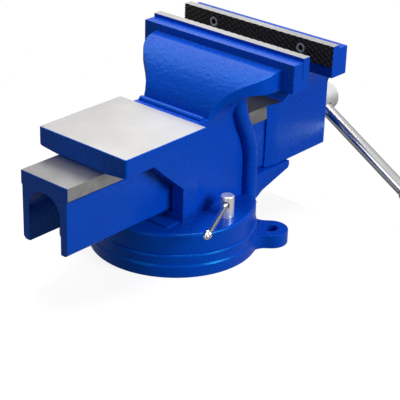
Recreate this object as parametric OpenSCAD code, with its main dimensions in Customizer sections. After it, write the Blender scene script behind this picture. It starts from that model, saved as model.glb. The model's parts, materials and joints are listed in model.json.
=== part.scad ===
// Bench vise with a square anvil on a bolt-down swivel base
// Origin: swivel axis at the underside of the base
// +Z up, +Y towards the anvil, -Y towards the handle, X along the jaws

/* [Swivel base] */
// Radius of the base casting
base_r = 66; // [60:0.1:75]
// Height of the base casting
base_h = 18.4; // [16:0.1:24]
// Height of the wider skirt at the foot of the base
skirt_h = 9; // [5:0.1:12]
// How far the skirt stands out
skirt_out = 1.1; // [0.5:0.1:2]
// Direction of the bolt lugs from the jaw axis, in degrees
lug_turn = 40; // [20:1:60]
// Distance from the swivel axis to a bench bolt
lug_reach = 76; // [74:0.1:90]
// Radius of the round end of a lug
lug_r = 13.5; // [10:0.1:18]
// Height of a lug
lug_h = 11.5; // [8:0.1:14]
// Radius of the fillet where a lug meets the base
lug_fillet_r = 12; // [4:0.1:16]
// Radius of a bench bolt hole
bench_hole_r = 5.25; // [4:0.05:7]
// Distance from the swivel axis to a lock screw, as a share of the base's radius
lock_reach_share = 0.7571; // [0.74:0.0001:0.77]
// How far round towards the handle a lock screw stands, in degrees
lock_lead = 4.8; // [0:0.1:10]
// Width of the T-slot's neck
slot_w = 12; // [11:0.1:13]
// Width of the T-slot's undercut
undercut_w = 21.5; // [20:0.1:22]
// Height of the T-slot's undercut
undercut_h = 7; // [6:0.1:8]
// Thickness of the floor below the T-slot
slot_floor_t = 4.5; // [3:0.1:5.5]

/* [Fixed body] */
// How far the turning foot stands in from the base
foot_inset = 2.4; // [1:0.1:6]
// Height of the turning foot
foot_h = 16.4; // [14:0.1:20]
// Round on the upper rim of the foot
foot_round = 2.5; // [1:0.1:4]
// Height of the slide's bed above the foot
bed_rise = 6.4; // [4:0.1:9]
// Half width of the neck below the jaw
neck_half = 32.5; // [31:0.1:36]
// Distance from the swivel axis to the front of the neck
yoke_reach = 50.9; // [47:0.1:52]
// Distance from the swivel axis to the fixed gripping face
face_reach = 62.9; // [60:0.1:68]
// Radius of the rounded rib down each front corner
rib_r = 5.6; // [4.5:0.1:7]
// Half width over the collar round the rear of the slide
collar_half = 35.5; // [34.5:0.1:38]
// Width of the collar's face
collar_w = 16; // [12:0.1:20]
// Distance from the swivel axis to the rear of the collar
collar_reach = 29.5; // [26:0.1:32]
// How far the guide nose stands out under the slide
nose_reach = 108; // [98:0.1:114]
// Half width of the guide nose
nose_half = 28.5; // [26:0.1:30]

/* [Anvil] */
// Width of the anvil
anvil_w = 87.4; // [74:0.1:100]
// Length of the anvil
anvil_len = 84.1; // [70:0.1:95]
// Distance from the swivel axis to the front edge of the anvil
anvil_start = 14.8; // [13:0.1:17]
// Thickness of the anvil above the slide
anvil_t = 15.8; // [13:0.1:20]
// Thickness of the anvil's rim
anvil_rim_t = 14.2; // [8:0.1:15]

/* [Jaws] */
// Width of the jaws and of their plates
jaw_w = 150; // [142:1:170]
// Height of the jaws above the anvil
jaw_rise = 42.6; // [40:0.1:50]
// Height of a jaw plate
plate_h = 16.6; // [15:0.1:19]
// Thickness of a jaw plate
plate_t = 7.3; // [6.5:0.1:9]
// How far a plate stands above the casting behind it
plate_proud = 2.8; // [1:0.1:4]
// Height of the ledge that a plate rests on
ledge_h = 8.8; // [6:0.1:10]
// Depth of the flat top behind a gripping face
shelf_reach = 18.4; // [17.5:0.1:22]
// Depth of the step below that flat top
step_drop = 6.2; // [4:0.1:8]
// Half width of the hood behind the jaw
web_half = 63; // [58:0.1:68]
// Distance from a gripping face to the foot of its hood
head_reach = 64.9; // [60:0.1:70]
// Height of the hood's curve
hood_rise = 45; // [40:0.1:48]
// Radius of the bead across the foot of a hood
bead_r = 2.9; // [2:0.1:4]
// Distance of a plate screw from the middle of the jaw
plate_screw_reach = 44; // [36:0.1:52]
// Distance of a plate screw below the top of its plate
plate_screw_drop = 8.3; // [7:0.1:9.5]
// Opening between the jaws as drawn
opening = 29.1; // [10:0.1:60]

/* [Slide] */
// Width of the slide
slide_w = 46.8; // [45.5:0.1:48]
// Height of the slide
slide_h = 53.4; // [51:0.1:56]
// Length of the slide behind the moving gripping face
slide_len = 227.1; // [215:0.1:240]
// Height of the machined strip along the slide
strip_h = 10.6; // [8:0.1:13]
// How far the cast legs stand in from the strip
leg_inset = 1; // [0.5:0.1:1.5]
// Thickness of a leg
leg_t = 6.7; // [6:0.1:8]
// Thickness of metal above the slide's arch
crown_t = 10.6; // [9:0.1:12]
// Half width of the moving jaw's body
body_half = 26.4; // [25:0.1:28.5]
// How far the moving body stands out below its gripping face
body_lap = 11.5; // [8:0.1:11.6]
// How far the moving body's front wall stands back from its gripping face
body_set_back = 13; // [11:0.1:16]
// Radius of the hollow at the foot of that wall
body_foot_r = 10; // [7:0.1:11]
// Thickness of the wall that carries the screw
thrust_wall_t = 12.5; // [10:0.1:15]

/* [Screw and handle] */
// Height of the screw's axis above the foot of the slide
screw_rise = 24.5; // [23:0.1:27]
// Radius of the screw
screw_r = 7; // [6:0.1:7.5]
// Distance from the moving gripping face to the screw's far end
screw_reach = 205; // [190:0.1:215]
// Radius of the screw's head
head_r = 12; // [10:0.1:13]
// Length of the screw's head
head_len = 39; // [34:0.1:44]
// Distance from the front wall to the handle bar's hole
bar_hole_reach = 24; // [14:0.1:26]
// Radius of the handle bar
bar_r = 5.5; // [4.5:0.1:6]
// Radius of a knob on the handle bar
knob_r = 7; // [6.5:0.1:9]
// Distance from the screw's axis to the far knob's centre
bar_long = 113; // [90:0.1:120]
// Distance from the screw's axis to the near knob's centre
bar_short = 17; // [16.5:0.1:30]
// How far the handle bar hangs below level, in degrees
bar_droop = 30.5; // [0:0.5:32]
// Length of the main nut
nut_len = 28; // [22:0.1:30]
// Distance from the swivel axis to the nut's rear end
nut_reach = 16; // [15:0.1:18]

/* [Locks] */
// Radius of a lock screw's head
lock_head_r = 5.3; // [5.1:0.05:6.5]
// Height of a lock screw's head
lock_head_h = 17.6; // [16:0.1:24]
// Height of the cross hole above the foot
lock_hole_rise = 11; // [9:0.1:12]
// Radius of a lock bar
lock_bar_r = 2.4; // [2:0.05:2.8]
// Distance from a lock screw's axis to the tip of its bar
lock_bar_reach = 60.5; // [45:0.1:62]
// Direction of the left lock bar from +X, in degrees
left_bar_turn = 115.5; // [100:0.5:150]
// Direction of the right lock bar from +X, in degrees
right_bar_turn = -78; // [-80:0.5:-40]

/* [Fits] */
// Running gap round the slide and between castings
gap = 0.3; // [0.2:0.05:0.5]
// Radial clearance of a turning shaft in its hole
shaft_fit = 0.06; // [0.02:0.01:0.1]
// Radial slack of a bar in its cross hole
bar_slack = 0.5; // [0.3:0.05:0.7]

/* [Hidden] */
$fn = 64;
// Overrun of every cut past the face that it opens
over = 1;
// Small break of an edge or set-back of a face
edge_break = 0.3;
// Slack where a turning piece meets its seat
seat_gap = 0.1;

paint = "royalblue";
steel = "silver";
bright = "gainsboro";
dark = "dimgray";

// Radii that follow the base
foot_r = base_r - foot_inset;
lock_reach = base_r * lock_reach_share;

// Heights from the bench up
foot_top = base_h + foot_h;
bed_z = foot_top + bed_rise;
slide_bottom = bed_z + gap;
slide_top = slide_bottom + slide_h;
channel_top = slide_top + gap;
anvil_top = channel_top + anvil_t;
jaw_top = anvil_top + jaw_rise;
screw_z = slide_bottom + screw_rise;
shelf_z = jaw_top - plate_proud;
plate_bottom = jaw_top - plate_h;
block_bottom = plate_bottom - ledge_h;
hood_top = shelf_z - step_drop;
hood_foot = hood_top - hood_rise;
plate_screw_z = jaw_top - plate_screw_drop;

// Places along the slide
grip_y = -face_reach;
moving_y = grip_y - opening;
wall_y = moving_y - head_reach;
handle_y = wall_y - bar_hole_reach;
nut_y = -nut_reach - nut_len / 2;

// Jaw head
ledge_back = 0.3;
lap_step = 0.3;
under_r = 6;
bead_rise = 1.5;
hood_lead = 5.5;
hood_run = head_reach - shelf_reach + hood_lead;
under_lead = 2.3;
hood_steps = 14;
bow_steps = 10;
flank_lag_share = 1.5;

// Neck
strip_drop = 1.5;
neck_back_reach = 34;
bend_low_share = 0.36;
bend_high_share = 0.9;
bend_steps = 8;
rib_sink_share = 0.5;
rib_ball_share = 1.01;
rib_steps = 5;
wall_top_reach = 66;
slant_rise = 22;
slant_z = bed_z + slant_rise;

// Slide's arch
arch_half = slide_w / 2 - leg_inset - leg_t;
arch_top = slide_top - crown_t;
arch_centre_z = arch_top - arch_half;
arch_steps = 20;
leg_round = 2;

// Screws that hold the plates
plate_screw_r = 2.5;
plate_screw_head_r = 4;
plate_screw_head_h = 4.9;
plate_screw_len = 16;
hex_socket_r = 2.3;
hex_socket_depth = 2.6;
head_slack = 0.2;

// Main nut and its screws
nut_slack = 1.2;
nut_half = arch_half - nut_slack;
nut_flange_h = 6;
nut_flange_len = 7.5;
nut_screw_r = 3;
nut_screw_head_r = 3.7;
nut_screw_head_h = 4;
nut_screw_len = 13;

// Pivot bolt and washer
pivot_r = 6;
pivot_head_r = 10.2;
pivot_head_h = 6.9;
pivot_washer_r = 12.2;
pivot_washer_t = 1.5;
pivot_pocket_r = 13;
pivot_pocket_h = 9;
pivot_depth = 14;

// Lock screws and tee nuts
lock_shank_r = 5;
lock_chamfer = 0.9;
lock_end_r = 3.5;
lock_end_len = 3;
lock_tip_len = 3.4;
tee_tongue_slack = 1;
tee_tongue_half = slot_w / 2 - tee_tongue_slack;
tee_tongue_span = 7;
tee_tongue_gap = 0.8;
tee_head_slack = 1.25;
tee_head_half = undercut_w / 2 - tee_head_slack;
tee_head_span = 9.5;
tee_pocket_slack = 0.3;
tee_pocket_half = tee_head_half + tee_pocket_slack;
tee_floor_gap = 1.6;
tee_head_h = undercut_h - tee_floor_gap;
tip_bulge_share = 1.1;

// Thrust parts on the screw
spring_wire_r = 0.8;
spring_stand = 2.2;
spring_mean_r = screw_r + spring_stand;
spring_turns = 3;
spring_len = 9.6;
spring_sides = 8;
spring_rings = 18;
washer_slack = 3.7;
washer_r = arch_half - washer_slack;
washer_t = 2;
pin_r = 1.4;
pin_len = 18;
pin_eye_r = 2.6;
pin_spread = 35;
screw_chamfer = 1.4;
head_chamfer = 1.2;

pin_y = wall_y + thrust_wall_t + spring_len + washer_t + pin_r + gap;

// Handle
spigot_r = 3.2;
spigot_len = 8;
knob_flat = 5.2;

function arc(c, r, a0, a1, n) =
    [for (i = [0:n]) let (a = a0 + (a1 - a0) * i / n) [c[0] + r[0] * cos(a), c[1] + r[1] * sin(a)]];
// Points of an S-shaped bend from a to b, upright at both ends, that sets in later as lag grows
function bend(a, b, n, lag) =
    [for (i = [0:n])
        let (t = i / n)
        [a[0] + (b[0] - a[0]) * (1 - cos(180 * pow(t, lag))) / 2, a[1] + (b[1] - a[1]) * t]];
function flip(points) = [for (i = [len(points) - 1:-1:0]) [-points[i][0], points[i][1]]];
function both(half) = concat(half, flip(half));

module along_x(w) {
    rotate([90, 0, 90]) linear_extrude(w, center = true) children();
}
// Extrudes an outline of X and Z from y0 to y1
module along_y(y0, y1) {
    translate([0, y1, 0]) rotate([90, 0, 0]) linear_extrude(y1 - y0) children();
}
module shaft_y(r, y0, y1) {
    translate([0, y1, screw_z]) rotate([90, 0, 0]) cylinder(r = r, h = y1 - y0);
}
module block(x0, x1, y0, y1, z0, z1) {
    translate([x0, y0, z0]) cube([x1 - x0, y1 - y0, z1 - z0]);
}

// Outline of a jaw head in plan, its flanks drawn in to the neck at the foot of the hood. The lap in front of
// it starts narrower by the given lead.
module head_plan(half, lap, lead) {
    flank = bend([web_half, shelf_reach], [half, head_reach], hood_steps, flank_lag_share);
    polygon(both(concat(
        [[half - lead, -lap], [half, 0], [jaw_w / 2, 0], [jaw_w / 2, shelf_reach]], flank)));
}
// Outline of a jaw head from the front, with the hollow under its wings and a straight neck
module head_front(half, bottom) {
    r = web_half - under_lead - half;
    polygon(both(concat(
        [[half, bottom]],
        arc([half + r, block_bottom - r], [r, r], 180, 90, bow_steps),
        [[web_half, block_bottom], [jaw_w / 2, block_bottom], [jaw_w / 2, jaw_top]])));
}
// Upper side of a jaw from its ledge over the shelf and down the hood to a given height
function head_side(foot_z) = concat(
    [[ledge_back, block_bottom], [ledge_back, plate_bottom], [plate_t, plate_bottom],
     [plate_t, shelf_z], [shelf_reach, shelf_z]],
    arc([shelf_reach - hood_lead, hood_foot], [hood_run, hood_rise],
        acos(hood_lead / hood_run), asin((foot_z - hood_foot) / hood_rise), hood_steps));

module plate_screw_holes() {
    for (side = [-1, 1])
        translate([side * plate_screw_reach, plate_t - over, plate_screw_z])
            rotate([-90, 0, 0])
                cylinder(r = plate_screw_r + shaft_fit, h = plate_screw_len - plate_screw_head_h);
}

module lug_plan() {
    root_r = base_r - skirt_out - edge_break;
    fillet_c = [sqrt(pow(root_r + lug_fillet_r, 2) - pow(lug_r + lug_fillet_r, 2)), lug_r + lug_fillet_r];
    a = atan2(fillet_c[1], fillet_c[0]);
    for (side = [0, 1])
        mirror([0, side])
            polygon(concat([[fillet_c[0] - lug_fillet_r, 0], [fillet_c[0], 0]],
                arc(fillet_c, [lug_fillet_r, lug_fillet_r], 270, 180 + a, bow_steps)));
    translate([fillet_c[0] - lug_fillet_r, -lug_r])
        square([lug_reach - fillet_c[0] + lug_fillet_r, 2 * lug_r]);
    translate([lug_reach, 0]) circle(lug_r);
}

module t_slot() {
    undercut_z = slot_floor_t + undercut_h;
    rotate_extrude(angle = 360)
        polygon([
            [lock_reach - undercut_w / 2, slot_floor_t], [lock_reach + undercut_w / 2, slot_floor_t],
            [lock_reach + undercut_w / 2, undercut_z], [lock_reach + slot_w / 2, undercut_z],
            [lock_reach + slot_w / 2, base_h + over], [lock_reach - slot_w / 2, base_h + over],
            [lock_reach - slot_w / 2, undercut_z], [lock_reach - undercut_w / 2, undercut_z]]);
}

// Windows in the floor below the T-slot, left between six spokes
module floor_windows() {
    window_slack = 1.2;
    window_w = undercut_w - window_slack;
    spoke_w = 12;
    difference() {
        translate([0, 0, -over])
            difference() {
                cylinder(r = lock_reach + window_w / 2, h = slot_floor_t + 2 * over);
                translate([0, 0, -over])
                    cylinder(r = lock_reach - window_w / 2, h = slot_floor_t + 4 * over);
            }
        for (turn = [0:60:120])
            rotate(turn)
                block(-base_r, base_r, -spoke_w / 2, spoke_w / 2, -2 * over, slot_floor_t + 2 * over);
    }
}

module swivel_base() {
    rim_round = 1.2;
    color(paint)
        difference() {
            union() {
                rotate_extrude()
                    polygon([
                        [0, 0], [base_r, 0], [base_r, skirt_h], [base_r - skirt_out, skirt_h + skirt_out],
                        [base_r - skirt_out, base_h - rim_round], [base_r - skirt_out - rim_round, base_h],
                        [0, base_h]]);
                for (side = [0, 180])
                    rotate(lug_turn + side) linear_extrude(lug_h) lug_plan();
            }
            t_slot();
            floor_windows();
            // Square pocket that lets the tee nuts into the slot
            block(-tee_pocket_half, tee_pocket_half, lock_reach - tee_pocket_half,
                lock_reach + tee_pocket_half, slot_floor_t, base_h + over);
            translate([0, 0, -over]) cylinder(r = pivot_r + shaft_fit, h = base_h + 2 * over);
            translate([0, 0, -over]) cylinder(r = pivot_pocket_r, h = pivot_pocket_h + over);
            for (side = [0, 180])
                rotate(lug_turn + side)
                    translate([lug_reach, 0, -over])
                        cylinder(r = bench_hole_r, h = lug_h + 2 * over);
        }
}

module pivot_bolt() {
    head_z = pivot_pocket_h - pivot_washer_t - pivot_head_h;
    color(steel) {
        translate([0, 0, head_z]) cylinder(r = pivot_head_r, h = pivot_head_h, $fn = 6);
        translate([0, 0, head_z + pivot_head_h / 2])
            cylinder(r = pivot_r, h = base_h + pivot_depth - head_z - pivot_head_h / 2);
    }
}

module pivot_washer() {
    color(steel)
        translate([0, 0, pivot_pocket_h - pivot_washer_t])
            difference() {
                cylinder(r = pivot_washer_r, h = pivot_washer_t);
                translate([0, 0, -over])
                    cylinder(r = pivot_r + bar_slack, h = pivot_washer_t + 2 * over);
            }
}

// Places a piece on a lock screw's axis
module at_lock(side) {
    rotate(-side * lock_lead) translate([side * lock_reach, 0, 0]) children();
}

module tee_nut(side) {
    lip_z = slot_floor_t + undercut_h;
    color(steel)
        at_lock(side)
            difference() {
                union() {
                    block(-tee_head_half, tee_head_half, -tee_head_span, tee_head_span,
                        lip_z - tee_head_h, lip_z);
                    block(-tee_tongue_half, tee_tongue_half, -tee_tongue_span, tee_tongue_span,
                        lip_z - tee_head_h / 2, base_h - tee_tongue_gap);
                }
                cylinder(r = lock_shank_r - shaft_fit, h = base_h);
            }
}

// Round bar from one point to another
module rod(a, b, r) {
    d = b - a;
    translate(a) rotate([0, acos(d[2] / norm(d)), atan2(d[1], d[0])]) cylinder(r = r, h = norm(d));
}

// Bend of the neck's front edge: upright, an S, upright
function neck_bend(low, high, n) =
    let (a = [low[0], low[1] + (high[1] - low[1]) * bend_low_share],
         b = [high[0], low[1] + (high[1] - low[1]) * bend_high_share])
    concat([low], bend(a, b, n, 1), [high]);

// Rounded rib that follows the bend down one front corner of the neck
module corner_rib(side) {
    sink = rib_r * rib_sink_share;
    spine = neck_bend([sink - yoke_reach, foot_top - 2 * foot_round],
        [sink - neck_back_reach, block_bottom + over], rib_steps);
    points = [for (p = spine) [side * (neck_half + sink), p[0], p[1]]];
    for (i = [0:len(points) - 2]) rod(points[i], points[i + 1], rib_r);
    for (i = [1:len(points) - 2]) translate(points[i]) sphere(r = rib_r * rib_ball_share);
}

module fixed_side() {
    translate([grip_y, 0])
        polygon(concat(
            head_side(anvil_top - strip_drop),
            [[face_reach + wall_top_reach, anvil_top - strip_drop],
             [face_reach + wall_top_reach, channel_top - gap],
             [face_reach + collar_reach, slant_z], [face_reach + collar_reach, foot_top - foot_round]],
            neck_bend([face_reach - yoke_reach, foot_top - foot_round],
                [face_reach - neck_back_reach, block_bottom], bend_steps)));
}

module fixed_plan() {
    translate([0, grip_y]) head_plan(neck_half, 0, 0);
    translate([-neck_half, grip_y + head_reach - over])
        square([2 * neck_half, wall_top_reach - grip_y - head_reach + over]);
}

module collar() {
    low_y = collar_reach - collar_w;
    slant = [wall_top_reach - collar_reach, channel_top - slant_z];
    rise = norm(slant) * collar_w / slant[1];
    color(paint)
        along_x(2 * collar_half)
            polygon([
                [low_y, foot_top - foot_round], [collar_reach, foot_top - foot_round],
                [collar_reach, slant_z],
                [wall_top_reach, channel_top], [wall_top_reach - rise * slant[1] / norm(slant), channel_top],
                [low_y, slant_z]]);
}

module anvil() {
    corner_r = 2;
    under_half = slide_w / 2 + gap;
    y1 = anvil_start + anvil_len;
    intersection() {
        along_y(anvil_start, y1)
            polygon(both([
                [under_half, channel_top - gap], [anvil_w / 2, anvil_top - anvil_rim_t],
                [anvil_w / 2, anvil_top]]));
        linear_extrude(anvil_top + over)
            polygon(concat(
                arc([anvil_w / 2 - corner_r, y1 - corner_r], [corner_r, corner_r], 0, 90, 4),
                arc([corner_r - anvil_w / 2, y1 - corner_r], [corner_r, corner_r], 90, 180, 4),
                [[-anvil_w / 2, anvil_start], [anvil_w / 2, anvil_start]]));
    }
}

module nose() {
    tip_r = 3.5;
    knee_reach = 74;
    knee_rise = 7;
    heel = [yoke_reach - over, base_h + 2 * edge_break];
    along_x(2 * nose_half)
        polygon(concat(
            [[-heel[0], bed_z], [-heel[0], heel[1]], [-foot_r, heel[1]],
             [-knee_reach, base_h + knee_rise]],
            arc([-nose_reach + tip_r, bed_z - tip_r], [tip_r, tip_r], 240, 180, 4),
            [[-nose_reach, bed_z]]));
}

module foot() {
    rotate_extrude()
        polygon(concat(
            [[0, base_h], [foot_r - edge_break, base_h], [foot_r, base_h + edge_break]],
            arc([foot_r - foot_round, foot_top - foot_round], [foot_round, foot_round], 0, 90, 5),
            [[0, foot_top]]));
}

// Low plinth under the slide behind the collar
module plinth() {
    plinth_h = 1.8;
    plinth_len = 14;
    block(-neck_half, neck_half, collar_reach - over, collar_reach + plinth_len,
        foot_top - over, foot_top + plinth_h);
}

module fixed_body() {
    color(paint)
        difference() {
            union() {
                intersection() {
                    along_x(jaw_w + 2 * over) fixed_side();
                    linear_extrude(jaw_top + over) fixed_plan();
                    along_y(grip_y - over, wall_top_reach + over)
                        head_front(neck_half, foot_top - foot_round);
                }
                foot();
                collar();
                anvil();
                nose();
                plinth();
                translate([0, grip_y + head_reach + bead_r + edge_break, anvil_top - strip_drop])
                    rotate([0, 90, 0])
                        cylinder(r = bead_r, h = 2 * (neck_half - over), center = true);
                corner_rib(-1);
                corner_rib(1);
            }
            // Channel for the slide
            block(-slide_w / 2 - gap, slide_w / 2 + gap, -nose_reach - over, wall_top_reach + anvil_len,
                bed_z, channel_top);
            translate([0, grip_y, 0]) plate_screw_holes();
            translate([0, 0, base_h - over])
                cylinder(r = pivot_r + shaft_fit, h = pivot_depth + 2 * over);
            for (side = [-1, 1])
                at_lock(side)
                    translate([0, 0, base_h - over])
                        cylinder(r = lock_shank_r + shaft_fit, h = foot_h + 2 * over);
            for (end = [-1, 1])
                translate([0, nut_screw_y(end), bed_z - nut_screw_len + nut_flange_h])
                    cylinder(r = nut_screw_r + shaft_fit, h = nut_screw_len);
        }
}

module jaw_plate() {
    difference() {
        block(-jaw_w / 2, jaw_w / 2, 0, plate_t, plate_bottom, jaw_top);
        for (side = [-1, 1])
            translate([side * plate_screw_reach, 0, plate_screw_z])
                rotate([-90, 0, 0]) {
                    translate([0, 0, -over])
                        cylinder(r = plate_screw_r + shaft_fit, h = plate_t + 2 * over);
                    translate([0, 0, -over])
                        cylinder(r = plate_screw_head_r + head_slack, h = plate_screw_head_h + gap + over);
                }
    }
}

module plate_screws() {
    for (side = [-1, 1])
        translate([side * plate_screw_reach, gap, plate_screw_z])
            rotate([-90, 0, 0])
                difference() {
                    union() {
                        cylinder(r = plate_screw_head_r, h = plate_screw_head_h);
                        cylinder(r = plate_screw_r, h = plate_screw_len - over);
                    }
                    translate([0, 0, -over])
                        cylinder(r = hex_socket_r, h = hex_socket_depth + over, $fn = 6);
                }
}

module fixed_jaw_plate() {
    color(dark) translate([0, grip_y, 0]) jaw_plate();
}

module fixed_plate_screws() {
    color(bright) translate([0, grip_y, 0]) plate_screws();
}

function nut_screw_y(end) = nut_y + end * (nut_len + nut_flange_len) / 2;

module main_nut() {
    flange_half = nut_len / 2 + nut_flange_len;
    color(dark)
        difference() {
            union() {
                along_y(nut_y - nut_len / 2, nut_y + nut_len / 2)
                    polygon(concat(
                        [[-nut_half, bed_z], [nut_half, bed_z]],
                        arc([0, screw_z], [nut_half, nut_half], 0, 180, arch_steps)));
                block(-nut_half, nut_half, nut_y - flange_half, nut_y + flange_half,
                    bed_z, bed_z + nut_flange_h);
            }
            shaft_y(screw_r + shaft_fit, nut_y - flange_half - over, nut_y + flange_half + over);
            for (end = [-1, 1])
                translate([0, nut_screw_y(end), bed_z - over])
                    cylinder(r = nut_screw_r + shaft_fit, h = nut_flange_h + 2 * over);
        }
}

module nut_screws() {
    color(steel)
        for (end = [-1, 1])
            translate([0, nut_screw_y(end), 0]) {
                translate([0, 0, bed_z + nut_flange_h])
                    cylinder(r = nut_screw_head_r, h = nut_screw_head_h, $fn = 6);
                translate([0, 0, bed_z + nut_flange_h - nut_screw_len + over])
                    cylinder(r = nut_screw_r, h = nut_screw_len);
            }
}

// Slide seen from its end: a machined strip over two cast legs, open below
module slide_outline() {
    leg_half = slide_w / 2 - leg_inset;
    polygon(both([
        [arch_half, slide_bottom], [leg_half - leg_round, slide_bottom],
        [leg_half, slide_bottom + leg_round], [leg_half, slide_top - strip_h - leg_inset],
        [slide_w / 2, slide_top - strip_h], [slide_w / 2, slide_top]]));
}

module arch_outline() {
    polygon(concat(
        [[-arch_half, slide_bottom - over], [arch_half, slide_bottom - over]],
        arc([0, arch_centre_z], [arch_half, arch_half], 0, 180, arch_steps)));
}

// Moving jaw from the side: the slide runs on below the head, whose front wall stands back from the jaws
module moving_side() {
    polygon(concat(
        [[head_reach, slide_bottom], [-body_lap, slide_bottom], [-body_lap, slide_top]],
        arc([body_set_back - body_foot_r, slide_top + body_foot_r], [body_foot_r, body_foot_r],
            270, 360, bow_steps),
        arc([body_set_back - under_r, block_bottom - under_r], [under_r, under_r], 0, 90, bow_steps),
        head_side(hood_foot)));
}

module moving_jaw() {
    color(paint)
        difference() {
            translate([0, moving_y, 0])
                mirror([0, 1, 0])
                    union() {
                        intersection() {
                            along_x(jaw_w + 2 * over) moving_side();
                            linear_extrude(jaw_top + over)
                                head_plan(body_half, body_lap, body_half - slide_w / 2 - lap_step);
                            along_y(-body_lap - over, head_reach + over)
                                head_front(body_half, slide_bottom);
                        }
                        along_y(-slide_len, -body_lap + over) slide_outline();
                        translate([0, head_reach - bead_r / 2, hood_foot + bead_rise])
                            rotate([0, 90, 0])
                                cylinder(r = bead_r, h = 2 * (body_half + over), center = true);
                    }
            along_y(wall_y + thrust_wall_t, moving_y + slide_len + over) arch_outline();
            shaft_y(screw_r + shaft_fit, wall_y - bead_r - over, wall_y + thrust_wall_t + over);
            translate([0, moving_y, 0]) mirror([0, 1, 0]) plate_screw_holes();
        }
}

module moving_jaw_plate() {
    color(dark) translate([0, moving_y, 0]) mirror([0, 1, 0]) jaw_plate();
}

module moving_plate_screws() {
    color(bright) translate([0, moving_y, 0]) mirror([0, 1, 0]) plate_screws();
}

// Places a piece on the handle bar's axis, which it then has as its own Z
module at_bar() {
    translate([0, handle_y, screw_z]) rotate([0, 90 + bar_droop, 180]) children();
}

module main_screw() {
    y_end = moving_y + screw_reach;
    color(bright)
        difference() {
            union() {
                translate([0, wall_y - seat_gap, screw_z])
                    rotate([90, 0, 0])
                        rotate_extrude()
                            polygon([
                                [0, 0], [head_r, 0], [head_r, head_len - head_chamfer],
                                [head_r - head_chamfer, head_len], [0, head_len]]);
                translate([0, wall_y - gap, screw_z])
                    rotate([-90, 0, 0])
                        rotate_extrude()
                            polygon([
                                [0, 0], [screw_r, 0], [screw_r, y_end - wall_y + gap - screw_chamfer],
                                [screw_r - screw_chamfer, y_end - wall_y + gap],
                                [0, y_end - wall_y + gap]]);
            }
            at_bar() cylinder(r = bar_r + bar_slack, h = 4 * head_r, center = true);
            translate([0, pin_y, screw_z]) cylinder(r = pin_r + shaft_fit, h = 4 * screw_r, center = true);
        }
}

// Coil spring between the front wall and the thrust washer
module thrust_spring() {
    n = spring_turns * spring_rings;
    y0 = wall_y + thrust_wall_t + spring_wire_r + seat_gap;
    travel = spring_len - 2 * (spring_wire_r + seat_gap);
    points = [for (i = [0:n], k = [0:spring_sides - 1])
        let (turn = 360 * i / spring_rings, a = 360 * k / spring_sides,
             r = spring_mean_r + spring_wire_r * cos(a))
        [r * cos(turn), y0 + travel * i / n + spring_wire_r * sin(a), screw_z - r * sin(turn)]];
    skin = [for (i = [0:n - 1], k = [0:spring_sides - 1], half = [0, 1])
        let (a = i * spring_sides + k, b = i * spring_sides + (k + 1) % spring_sides)
        half == 0 ? [a, b, b + spring_sides] : [a, b + spring_sides, a + spring_sides]];
    last = n * spring_sides;
    caps = concat(
        [for (k = [1:spring_sides - 2]) [0, k + 1, k]],
        [for (k = [1:spring_sides - 2]) [last, last + k, last + k + 1]]);
    color(steel) polyhedron(points, concat(skin, caps));
}

module thrust_washer() {
    y0 = wall_y + thrust_wall_t + spring_len;
    color(steel)
        difference() {
            shaft_y(washer_r, y0, y0 + washer_t);
            shaft_y(screw_r + head_slack, y0 - over, y0 + washer_t + over);
        }
}

module split_pin() {
    color(steel)
        translate([0, pin_y, screw_z]) {
            cylinder(r = pin_r, h = pin_len, center = true);
            translate([0, 0, pin_len / 2 + pin_eye_r - pin_r / 2])
                rotate([90, 0, 0])
                    rotate_extrude()
                        translate([pin_eye_r, 0]) circle(pin_r / 2);
            for (side = [-1, 1])
                translate([side * pin_r / 4, 0, pin_r / 2 - pin_len / 2])
                    rotate([0, 180 + side * pin_spread, 0])
                        cylinder(r = pin_r / 2, h = 3 * pin_r);
        }
}

module handle_bar() {
    color(bright)
        at_bar()
            rotate_extrude()
                polygon([
                    [0, -bar_short - spigot_len / 2], [spigot_r, -bar_short - spigot_len / 2],
                    [spigot_r, -bar_short + knob_flat], [bar_r, -bar_short + knob_flat],
                    [bar_r, bar_long - knob_flat], [spigot_r, bar_long - knob_flat],
                    [spigot_r, bar_long + spigot_len / 2], [0, bar_long + spigot_len / 2]]);
}

// Ball knob pressed on the bar's spigot, with a flat towards the bar
module handle_knob(reach, way) {
    color(bright)
        at_bar()
            translate([0, 0, reach])
                mirror([0, 0, way])
                    difference() {
                        sphere(r = knob_r);
                        translate([0, 0, -knob_r - over])
                            cylinder(r = 2 * knob_r, h = knob_r - knob_flat + over);
                        translate([0, 0, -knob_r - over])
                            cylinder(r = spigot_r + shaft_fit, h = knob_r + over + spigot_len / 2 + edge_break);
                    }
}

module handle_knob_far() {
    handle_knob(bar_long, 0);
}

module handle_knob_near() {
    handle_knob(-bar_short, 1);
}

module lock_screw(side, turn) {
    tip_z = slot_floor_t + edge_break;
    color(bright)
        at_lock(side)
            difference() {
                union() {
                    translate([0, 0, foot_top])
                        rotate_extrude()
                            polygon([
                                [0, 0], [lock_head_r, 0], [lock_head_r, lock_head_h - lock_chamfer],
                                [lock_head_r - lock_chamfer, lock_head_h], [0, lock_head_h]]);
                    translate([0, 0, base_h])
                        cylinder(r = lock_shank_r, h = foot_h + over);
                    translate([0, 0, tip_z])
                        cylinder(r = lock_shank_r - 2 * shaft_fit, h = base_h - tip_z + over);
                }
                translate([0, 0, foot_top + lock_hole_rise])
                    rotate([0, 90, turn + side * lock_lead])
                        cylinder(r = lock_bar_r + bar_slack, h = 4 * lock_head_r, center = true);
            }
}

function lock_tip() =
    arc([0, lock_bar_reach - lock_bar_r], [lock_bar_r * tip_bulge_share, lock_bar_r], 0, 90, 5);

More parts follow.
